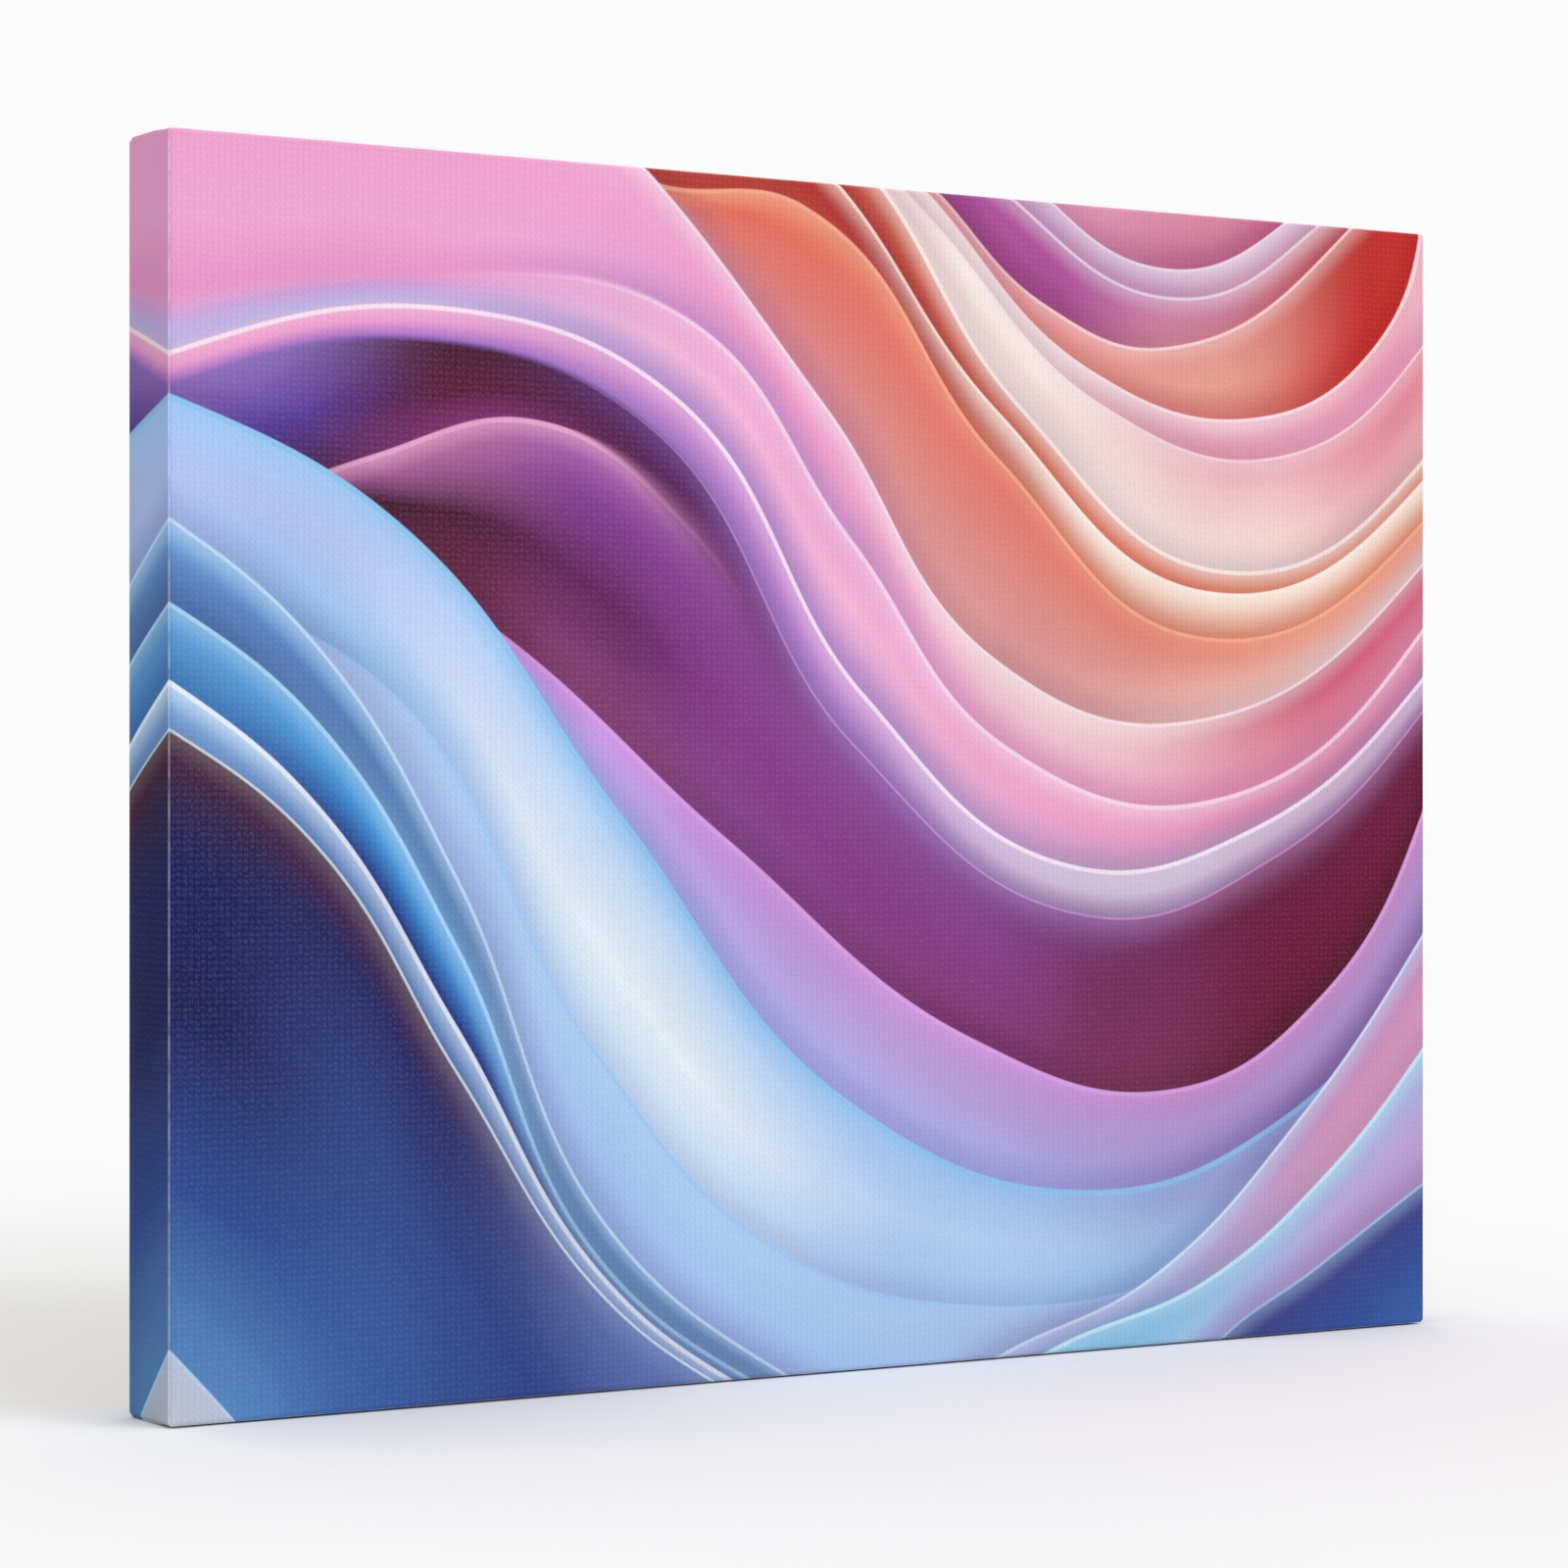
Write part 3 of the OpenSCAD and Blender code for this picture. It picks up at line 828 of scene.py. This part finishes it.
            (0.16, [(0.0, "#4c1434"), (0.12, "#1c2060"), (0.35, "#2c4488"), (1.0, "#3c68b0")]),
            (0.34, [(0.0, "#6478b4"), (0.3, "#2c4494"), (1.0, "#2c54a0")]),
        ],
        "reach": 0.5,
        "glow": 0.08,
    },
    {
        "edge": [(0.0, 1.6), (0.60, 1.01), (0.75, 0.94), (0.88, 0.81), (1.0, 0.64)],
        "rim": ("#d4e8f8", 1.2 * MM),
        "looks": [
            (0.70, [(0.0, "#9cb4e4"), (0.5, "#a4b4e0"), (1.0, "#84b4dc")]),
            (0.95, [(0.0, "#b48cc4"), (0.5, "#d090b8"), (1.0, "#d8a0c4")]),
        ],
    },
    {
        "edge": [(0.0, 1.7), (0.64, 1.01), (0.80, 0.945), (0.90, 0.865), (1.0, 0.745)],
        "rim": ("#c8ecf8", 1.6 * MM),
        "looks": [
            (0.74, [(0.0, "#7cb8dc"), (0.5, "#98c8e8"), (1.0, "#a8b0e0")]),
            (0.96, [(0.0, "#a0bce4"), (0.5, "#b8a4d4"), (1.0, "#b898cc")]),
        ],
    },
    {
        "edge": [(0.0, 2.4), (0.80, 1.01), (0.90, 0.94), (1.0, 0.87)],
        "rim": ("#a8c8ec", 1.2 * MM),
        "looks": [
            (0.90, [(0.0, "#3c3c80"), (0.5, "#30509c"), (1.0, "#3c68b0")]),
        ],
        "reach": 0.15,
    },
    {
        "edge": [(0.0, 0.94), (0.045, 1.0), (1.0, 2.4)],
        "rim": ("#c0d8f0", 1.0 * MM),
        "looks": [
            (0.02, [(0.0, "#b8c0d4"), (1.0, "#c8ccd6")]),
        ],
        "reach": 0.08,
        "shade": 0.1,
    },
]
EDGE_SOFT = 0.35 * MM        # half the width over which one ribbon turns into the next
SLOPE_STEP = 0.01            # share of the width over which an edge's slope is measured
RIM_SHARE = 0.75             # strength of the light line along an edge
GLOW_W = 9 * MM              # reach of the light inside an edge
GLOW_SHARE = 0.34            # its strength
SHADE_W = 13 * MM            # reach of the shadow above an edge
SHADE_SHARE = 0.34           # its strength
SHADE_TINT = "#b894b4"
PRINT_TONE = 0.76            # how much light the inks give back next to the colours above
SIDE_SHADED_TONE = 0.7              # the same on the sides, set lower than on the face: painted shade on the sides


def height_at(shader, across, edge):
    """How far down an edge is, at a place across the face."""
    curve_node = shader.node("ShaderNodeFloatCurve", {1: across})
    curve_node.mapping.use_clip = False
    points = curve_node.mapping.curves[0].points
    points[0].location = edge[0]
    points[1].location = edge[-1]
    for spot in edge[1:-1]:
        points.new(*spot)
    curve_node.mapping.update()
    return curve_node.outputs[0]


def below_edge(shader, across, down, edge):
    """(how far down the edge is, how far the point lies below it, square to the edge, in metres)."""
    here = height_at(shader, across, edge)
    further = height_at(shader, shader.math("ADD", across, SLOPE_STEP), edge)
    slope = shader.math("MULTIPLY", shader.math("SUBTRACT", further, here), HEIGHT / WIDTH / SLOPE_STEP)
    stretch = shader.math("SQRT", shader.math("MULTIPLY_ADD", slope, slope, 1.0))
    drop = shader.math("MULTIPLY", shader.math("SUBTRACT", down, here), HEIGHT)
    return here, shader.math("DIVIDE", drop, stretch)


def ribbon_colour(shader, across, share, looks):
    """A ribbon's colour: its looks, blended from one place across to the next."""
    colour = shader.ramp(share, looks[0][1])
    for (start, _), (end, stops) in zip(looks, looks[1:]):
        turned = shader.remap(across, start, end)
        colour = shader.mix(turned, colour, shader.ramp(share, stops))
    return colour


def part_of(shader, share, kept):
    """share of kept, which is 1.0 or a socket."""
    return share if kept == 1.0 else shader.math("MULTIPLY", kept, share)


def stroke(shader, colour, distance, code, width, strength):
    """Draws a thin soft line where distance is near 0."""
    off = shader.math("ABSOLUTE", distance)
    shown = shader.remap(off, width / 2 - EDGE_SOFT, width / 2 + EDGE_SOFT, 1.0, 0.0)
    return shader.mix(shader.math("MULTIPLY", shown, strength), colour, code)


def glow(shader, colour, distance, code, strength):
    """Light that fades from a ribbon's edge into the ribbon."""
    shown = shader.remap(distance, 0.0, GLOW_W, strength, 0.0)
    return shader.mix(shown, colour, code)


def shade(shader, colour, distance, strength):
    """Soft shadow above the next ribbon's edge, which makes that ribbon stand proud."""
    shown = shader.remap(distance, -SHADE_W, 0.0, 0.0, strength)
    return shader.mix(shown, colour, shader.mix(1.0, colour, SHADE_TINT, "MULTIPLY"))


def print_colour(shader, across, down):
    """The whole print, ribbon over ribbon. Each edge is worked out just before it is
    used, because a material holds only so many values at a time."""
    colour = None
    height, distance = -0.1, None
    for number, ribbon in enumerate(RIBBONS):
        following = RIBBONS[number + 1]["edge"] if number + 1 < len(RIBBONS) else None
        if following:
            next_height, next_distance = below_edge(shader, across, down, following)
        thick = ribbon["reach"] if "reach" in ribbon else shader.math("SUBTRACT", next_height, height)
        gone = shader.math("SUBTRACT", down, height)
        share = shader.math("DIVIDE", gone, shader.math("MAXIMUM", thick, 0.02))
        painted = ribbon_colour(shader, across, share, ribbon["looks"])
        if colour is None:
            colour = painted
        else:
            code, width = ribbon["rim"]
            kept, soft = 1.0, EDGE_SOFT
            if "fades" in ribbon:
                whole, gone_by, blur = ribbon["fades"]
                kept = shader.remap(across, whole, gone_by, 1.0, 0.0)
                soft = shader.math("MULTIPLY_ADD", kept, EDGE_SOFT - blur, blur)
            inside = shader.math("SUBTRACT", distance, width / 2)
            painted = glow(shader, painted, distance, code, part_of(shader, ribbon.get("glow", GLOW_SHARE), kept))
            painted = stroke(shader, painted, inside, code, width, part_of(shader, RIM_SHARE, kept))
            strength = part_of(shader, ribbon.get("shade", SHADE_SHARE), kept)
            colour = shade(shader, colour, distance, strength)
            before = -EDGE_SOFT if kept == 1.0 else shader.math("MULTIPLY", soft, -1.0)
            colour = shader.mix(shader.remap(distance, before, soft), colour, painted)
        height, distance = next_height, next_distance
    return colour


# ====================================================================================
# Materials
# ====================================================================================

WEAVE = 2.1 * MM             # one pair of threads of the canvas
THREAD_WANDER = 0.16         # how far threads wander from straight, in pairs
ROW_STEP = 0.12              # how far rows step from one pair to the next
PAIR_SWING = 0.1             # how far a pair sways from row to row


def cloth_marks(shader):
    """The flat cloth's coordinates: (across, down) as shares of the face."""
    mark = shader.node("ShaderNodeUVMap", {}, uv_map=UV_NAME).outputs[0]
    split = shader.node("ShaderNodeSeparateXYZ", {0: mark})
    return mark, split.outputs[0], split.outputs[1]


def weave(shader, mark, across, down, pitch):
    """A weave of paired threads, as (height, crowns, gaps), each from 0 to 1. The rows step
    up and down from pair to pair, and where two gaps cross, primer fills the hole."""
    wander = shader.noise(mark, 38.0, 2.0)
    sway = shader.math("MULTIPLY", shader.math("SUBTRACT", wander, 0.5), 2 * THREAD_WANDER)
    rows = shader.math("MULTIPLY_ADD", down, HEIGHT / pitch, sway)
    swing = shader.math("SINE", shader.math("MULTIPLY", rows, 2 * math.pi))
    pairs = shader.math("MULTIPLY_ADD", across, WIDTH / pitch, sway)
    p = shader.math("MULTIPLY_ADD", swing, PAIR_SWING, pairs)
    odd = shader.math("FLOORED_MODULO", shader.math("FLOOR", p), 2.0)
    q = shader.math("MULTIPLY_ADD", odd, ROW_STEP, rows)
    warp = shader.math("ABSOLUTE", shader.math("SINE", shader.math("MULTIPLY", p, math.pi)))
    weft = shader.math("ABSOLUTE", shader.math("SINE", shader.math("MULTIPLY", q, math.pi)))
    thread = shader.math("ABSOLUTE", shader.math("SINE", shader.math("MULTIPLY", p, 2 * math.pi)))
    between_pairs = shader.remap(warp, 0.0, 0.55, 1.0, 0.0)
    between_rows = shader.remap(weft, 0.0, 0.5, 1.0, 0.0)
    uneven = shader.remap(shader.noise(mark, 420.0, 2.0), 0.35, 0.65, 0.35, 1.25)
    crossed = shader.math("MULTIPLY_ADD", between_rows, -0.75, between_pairs)
    gap = shader.math("MULTIPLY", shader.math("ABSOLUTE", crossed), uneven)
    ridge = shader.math("MULTIPLY_ADD", thread, 0.6, shader.math("MULTIPLY", warp, 0.4))
    bowed = shader.math("MULTIPLY_ADD", weft, 0.7, 0.3)
    crown = shader.math("MULTIPLY", shader.math("MULTIPLY", bowed, ridge), uneven)
    height = shader.math("MULTIPLY_ADD", warp, 0.3, shader.math("MULTIPLY", crown, 0.7))
    return height, crown, gap


def beyond_face(shader, across, down):
    """How far a point of the cloth lies outside the printed face, in metres."""
    out_x = shader.math("SUBTRACT", shader.math("ABSOLUTE", shader.math("SUBTRACT", across, 0.5)), 0.5)
    out_y = shader.math("SUBTRACT", shader.math("ABSOLUTE", shader.math("SUBTRACT", down, 0.5)), 0.5)
    far_x = shader.math("MULTIPLY", out_x, WIDTH)
    far_y = shader.math("MULTIPLY", out_y, HEIGHT)
    return shader.math("MAXIMUM", far_x, far_y)


def printed_canvas():
    """Primed cotton canvas printed with the ribbons. The print turns round each edge as
    its mirror image and stops a little way onto the back, where the primer shows."""
    shader = Shader("printed_canvas")
    mark, across, down = cloth_marks(shader)
    inks = print_colour(
        shader,
        shader.math("PINGPONG", across, 1.0),
        shader.math("PINGPONG", down, 1.0),
    )
    height, crown, gap = weave(shader, mark, across, down, WEAVE)
    beyond = beyond_face(shader, across, down)
    on_face = shader.remap(beyond, -1 * MM, 3 * MM, 1.0, 0.35)
    # Inks on the sides are darkened a little more than on the face: painted shade on the sides.
    inks = shader.mix(1.0, inks, shader.remap(beyond, 0.0, 1 * MM, PRINT_TONE, SIDE_SHADED_TONE), "MULTIPLY")
    # Painted sheen: a faint light colour on the thread crowns, stronger towards the left where light catches the
    # weave, and partly primer showing at the crowns.
    towards_left = shader.remap(across, 0.0, 1.0, 1.0, 0.55, "LINEAR")
    crown_sheen = shader.math("MULTIPLY", shader.math("MULTIPLY", crown, on_face), towards_left)
    inks = shader.mix(shader.math("MULTIPLY", crown_sheen, 0.05), inks, "#ccccf2")
    # Painted shade in the gaps between threads: the inks are darkened there.
    gap_shade = shader.math("MULTIPLY", shader.math("MULTIPLY", gap, on_face), 0.115)
    inks = shader.mix(gap_shade, inks, "#10081c")
    # A light line along the turn of the cloth round the front edges: painted highlight where the rounded edge catches
    # light, and partly ink worn thin there.
    turn = shader.math("ABSOLUTE", shader.math("ADD", beyond, -0.1 * MM))
    edge_highlight_and_wear = shader.remap(turn, 0.1 * MM, 0.55 * MM, 0.65, 0.0)
    patchy = shader.remap(shader.noise(mark, 60.0, 3.0), 0.35, 0.6, 0.5, 1.0)
    inks = shader.mix(shader.math("MULTIPLY", edge_highlight_and_wear, patchy), inks, "#a4a6b0", "ADD")
    tone = shader.remap(shader.noise(mark, 6.0, 4.0), 0.3, 0.7, 0.97, 1.03)
    # Primer colour, darkened in the gaps between threads as painted shade.
    primer_and_gap_shade = shader.mix(shader.math("MULTIPLY", gap, 0.2), "#ebe8e0", "#b8b2a4")
    bleed_end = DEPTH + PRINT_BLEED
    bare = shader.remap(beyond, bleed_end - 0.3 * MM, bleed_end + 0.3 * MM)
    colour = shader.mix(bare, inks, primer_and_gap_shade)
    shader.set(
        colour=shader.mix(1.0, colour, tone, "MULTIPLY"),
        roughness=shader.remap(height, 0.2, 0.95, 0.72, 0.56),
        specular=0.06,
    )
    relief = shader.math("MULTIPLY", height, on_face)
    shader.bump(relief, 0.22 * MM, 0.55)
    return shader.material


def raw_canvas():
    """The unprimed reverse: cream cotton with slubs, specks and an open weave."""
    shader = Shader("raw_canvas")
    mark, across, down = cloth_marks(shader)
    height, _, gap = weave(shader, mark, across, down, WEAVE / 2)
    slub = shader.noise(shader.place(scale=(1, 1, 14)), 70.0, 4.0)
    slub_across = shader.noise(shader.place(scale=(14, 1, 1)), 70.0, 4.0)
    base = shader.ramp(shader.math("MULTIPLY_ADD", slub, 0.5, shader.math("MULTIPLY", slub_across, 0.5)), [
        (0.30, "#c2b391"), (0.48, "#d8cbae"), (0.62, "#e4dac2"), (0.8, "#efe7d4"),
    ])
    # Painted shade in the open weave's gaps between threads.
    colour = shader.mix(shader.math("MULTIPLY", gap, 0.4), base, "#7d6a4a")
    speck = shader.remap(shader.noise(mark, 260.0, 2.0), 0.70, 0.76)
    colour = shader.mix(shader.math("MULTIPLY", speck, 0.55), colour, "#6b4f2c")
    shader.set(colour=colour, roughness=0.92, specular=0.2, sheen=0.15)
    shader.bump(shader.math("MULTIPLY_ADD", slub, 0.4, height), 0.25 * MM, 0.6)
    return shader.material


def wood(name, lengthwise, shift, colours, ring_scale=42.0):
    """Planed softwood with its grain along X or Z, as lengthwise says."""
    shader = Shader(name)
    squeeze = (0.06, 1, 1) if lengthwise == "x" else (1, 1, 0.06)
    stretched = shader.place(scale=squeeze, shift=shift)
    drift = shader.noise(stretched, 9.0, 2.0)
    ring_inputs = {
        "Vector": stretched, "Scale": ring_scale, "Distortion": 5.5, "Detail": 2.0,
        "Detail Scale": 0.6, "Phase Offset": shader.math("MULTIPLY", drift, 9.0),
    }
    rings = shader.node("ShaderNodeTexWave", ring_inputs, wave_type="BANDS",
                        bands_direction="DIAGONAL", wave_profile="SAW").outputs[1]
    fine_squeeze = (0.02, 1, 1) if lengthwise == "x" else (1, 1, 0.02)
    fibre = shader.noise(shader.place(scale=fine_squeeze, shift=shift), 900.0, 3.0)
    light, middle, dark = colours
    base = shader.ramp(rings, [(0.0, light), (0.55, middle), (0.9, dark), (1.0, light)])
    patch = shader.remap(shader.noise(stretched, 5.0, 3.0), 0.35, 0.65, 0.0, 0.35)
    colour = shader.mix(patch, base, middle)
    streak = shader.remap(fibre, 0.55, 0.75, 0.0, 0.3)
    colour = shader.mix(streak, colour, dark)
    grime = shader.remap(shader.noise(shader.place(shift=shift), 24.0, 4.0), 0.55, 0.8, 0.0, 0.18)
    colour = shader.mix(grime, colour, "#8a6a44")
    shader.set(
        colour=colour,
        roughness=shader.remap(fibre, 0.3, 0.7, 0.62, 0.8),
        specular=0.3,
    )
    shader.bump(shader.math("MULTIPLY_ADD", rings, 0.35, fibre), 0.12 * MM, 0.6)
    return shader.material


def metal(name, colour, dull, roughness, stretch):
    """Drawn or rolled sheet metal: fine lines along it, and dull patches."""
    shader = Shader(name)
    lines = shader.noise(shader.place(scale=stretch), 1500.0, 2.0)
    cloud = shader.noise(shader.place(), 160.0, 4.0)
    patch = shader.remap(cloud, 0.38, 0.74)
    shader.set(
        colour=shader.mix(shader.math("MULTIPLY", patch, 0.45), colour, dull),
        metallic=1.0,
        roughness=shader.math("MULTIPLY_ADD", patch, 0.22, roughness),
    )
    shader.bump(lines, 0.004 * MM, 0.3)
    return shader.material


def rubber():
    """Moulded grey rubber with a fine matt grain and some dust."""
    shader = Shader("bumper_rubber")
    grain = shader.noise(shader.place(), 1400.0, 3.0)
    dust = shader.remap(shader.noise(shader.place(), 300.0, 4.0), 0.5, 0.75, 0.0, 0.45)
    shader.set(
        colour=shader.mix(dust, "#4a4a4c", "#8c8a86"),
        roughness=shader.remap(grain, 0.3, 0.7, 0.6, 0.82),
        specular=0.35,
    )
    shader.bump(grain, 0.06 * MM, 0.6)
    return shader.material


PINE = ("#ecd6ae", "#dfc193", "#bf925a")
BIRCH = ("#f0dfbd", "#e6cea2", "#cba673")


def paint_cad_parts():
    """Gives each CAD part that stays its own material."""
    for number, side in enumerate(("top", "bottom", "left", "right")):
        grain = "x" if side in ("top", "bottom") else "z"
        shift = (0.37 * number, 0.11 * number, 0.53 * number)
        set_material(f"stretcher_{side}", wood(f"pine_{side}", grain, shift, PINE))
    along = {
        "horizontal": wood("key_wood_horizontal", "x", (0.2, 0.7, 0.1), BIRCH, 60.0),
        "vertical": wood("key_wood_vertical", "z", (0.5, 0.3, 0.9), BIRCH, 60.0),
    }
    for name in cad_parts:
        if name.startswith("key_"):
            set_material(name, along[name.rsplit("_", 1)[1]])
    staple_steel = metal("staple_steel", "#dcdee0", "#bcc0c4", 0.42, (1, 1, 1))
    for side in ("top", "bottom", "left", "right"):
        set_material(f"staples_{side}", staple_steel)
    brass = metal("hanger_brass", "#d9b061", "#a5803d", 0.26, (0.03, 1, 1))
    set_material("sawtooth_hanger", brass)
    set_material("hanger_nails", metal("nail_steel", "#b9b6ae", "#85817a", 0.3, (1, 1, 1)))
    for corner in ("top_left", "top_right", "bottom_left", "bottom_right"):
        set_material(f"bumper_{corner}", bumper_rubber)


def set_material(node, material):
    """Gives a CAD node a new material in its first slot."""
    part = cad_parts[node]
    part.data.materials.clear()
    part.data.materials.append(material)


# ====================================================================================
# Stage, light and camera
# ====================================================================================

VIEW_ANGLE = math.radians(31.96)   # how far the camera stands round to the canvas's left
VIEW_DISTANCE = 1.508              # camera to the face's middle, along the view
VIEW_ASIDE = -0.0236               # camera left of the face's middle
VIEW_DROP = 0.0022
LENS_MM = 101
FLOOR_SIZE = 30.0
SKY = 0.97                         # brightness all round
SUN = 1.5
SUN_FROM = Vector((0.55, -1.0, 0.62))


def add_camera():
    """A level camera to the left of the canvas, at the height of its middle."""
    forward = Vector((math.sin(VIEW_ANGLE), math.cos(VIEW_ANGLE), 0))
    right = Vector((math.cos(VIEW_ANGLE), -math.sin(VIEW_ANGLE), 0))
    data = bpy.data.cameras.new("camera")
    data.lens = LENS_MM
    camera = bpy.data.objects.new("camera", data)
    camera.location = FACE_CENTRE - forward * VIEW_DISTANCE + right * VIEW_ASIDE
    camera.location.z -= VIEW_DROP
    camera.rotation_euler = (math.pi / 2, 0, -VIEW_ANGLE)
    bpy.context.scene.collection.objects.link(camera)
    bpy.context.scene.camera = camera


def add_floor():
    """A plain pale floor, which the folds at the canvas's lower corners rest on."""
    mesh = bpy.data.meshes.new("floor")
    half = FLOOR_SIZE / 2
    corners = [(-half, -half), (half, -half), (half, half), (-half, half)]
    mesh.from_pydata([(x, y, BOTTOM - FOLD_RISE) for x, y in corners], [], [(0, 1, 2, 3)])
    shader = Shader("floor_white")
    speck = shader.noise(shader.place(), 3.0, 3.0)
    shader.set(colour=shader.ramp(speck, [(0.3, "#e7e7e7"), (0.7, "#e9e9e9")]), roughness=0.9, specular=0.0)
    mesh.materials.append(shader.material)
    floor = bpy.data.objects.new("floor", mesh)
    bpy.context.scene.collection.objects.link(floor)


def add_light():
    """An even bright surrounding, and a broad soft light from the front and the right."""
    world = bpy.data.worlds.new("studio")
    world.use_nodes = True
    background = world.node_tree.nodes["Background"]
    background.inputs["Color"].default_value = (1.0, 1.0, 1.0, 1.0)
    background.inputs["Strength"].default_value = SKY
    bpy.context.scene.world = world
    data = bpy.data.lights.new("key", "SUN")
    data.energy = SUN
    data.angle = math.radians(50)
    key = bpy.data.objects.new("key", data)
    key.rotation_euler = SUN_FROM.to_track_quat("Z", "Y").to_euler()
    bpy.context.scene.collection.objects.link(key)
    bpy.context.scene.view_settings.view_transform = "Standard"


# ====================================================================================
# Building
# ====================================================================================

add_camera()
add_floor()
add_light()

bumper_rubber = rubber()
raw = raw_canvas()
cloth = printed_cloth(printed_canvas())
reverse = reverse_cloth(raw)
fray = frayed_threads(raw)
for piece in (cloth, reverse, fray):
    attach(piece, "frame")
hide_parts("canvas_cloth")
paint_cad_parts()
